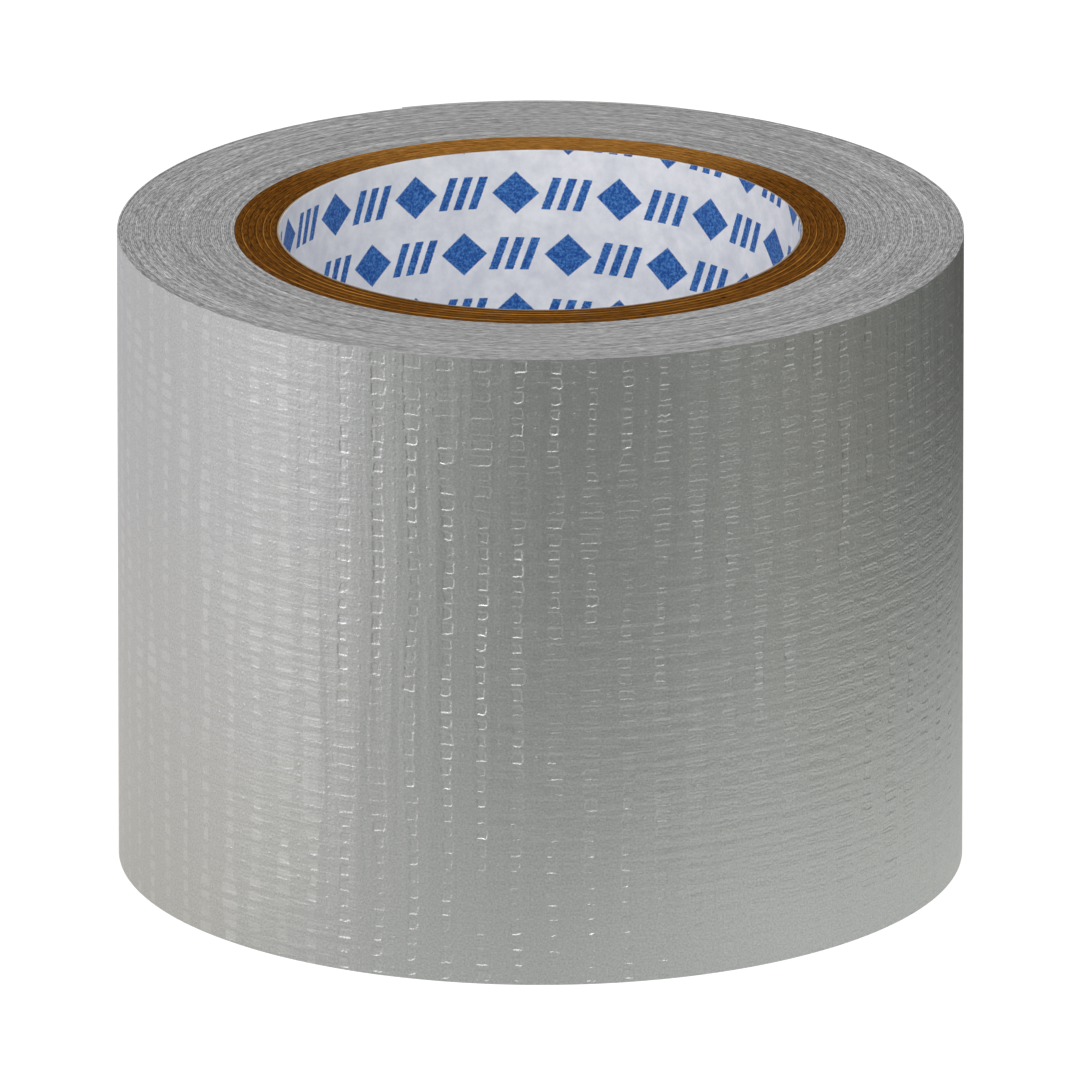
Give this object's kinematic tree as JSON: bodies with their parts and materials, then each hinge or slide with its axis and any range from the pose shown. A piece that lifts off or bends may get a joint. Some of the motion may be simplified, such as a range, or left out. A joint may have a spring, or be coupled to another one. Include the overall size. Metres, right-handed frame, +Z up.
{
  "type": "duct tape roll",
  "caption": "Roll of wide cloth-backed silver tape wound in a spiral on a laminated board core, with a free end that peels off the outside.",
  "frame": {"origin": "on the axis of the core's bore, in the plane of the lower end", "axes": "+Z up along the bore, -Y towards the viewer, so that the tape's free end is at the back, about +Y"},
  "size_m": [0.1242, 0.1244, 0.096],
  "materials": {
    "core_liner": "matt white paper with a blue printed pattern",
    "core_ply": "unbleached kraft board",
    "tape": "silver-grey polyethylene film, softly glossy",
    "cloth": "white cotton and polyester yarn",
    "adhesive": "tacky grey-white rubber adhesive"
  },
  "bodies": {
    "roll": {"core_liner": "core_liner", "core_ply_1": "core_ply", "core_ply_2": "core_ply", "core_ply_3": "core_ply", "core_ply_4": "core_ply", "core_ply_5": "core_ply", "core_ply_6": "core_ply", "tape_winding": "tape"},
    "free_end": {"free_end_film": "tape", "free_end_warp_yarns": "cloth", "free_end_weft_yarns": "cloth", "free_end_adhesive": "adhesive"}
  },
  "joints": [
    {"name": "free_end_peel", "type": "hinge", "parent": "roll", "child": "free_end", "pos_m": [0.02066, 0.05879, 0], "axis": [0, 0, -1], "range_deg": [0, 120]}
  ]
}
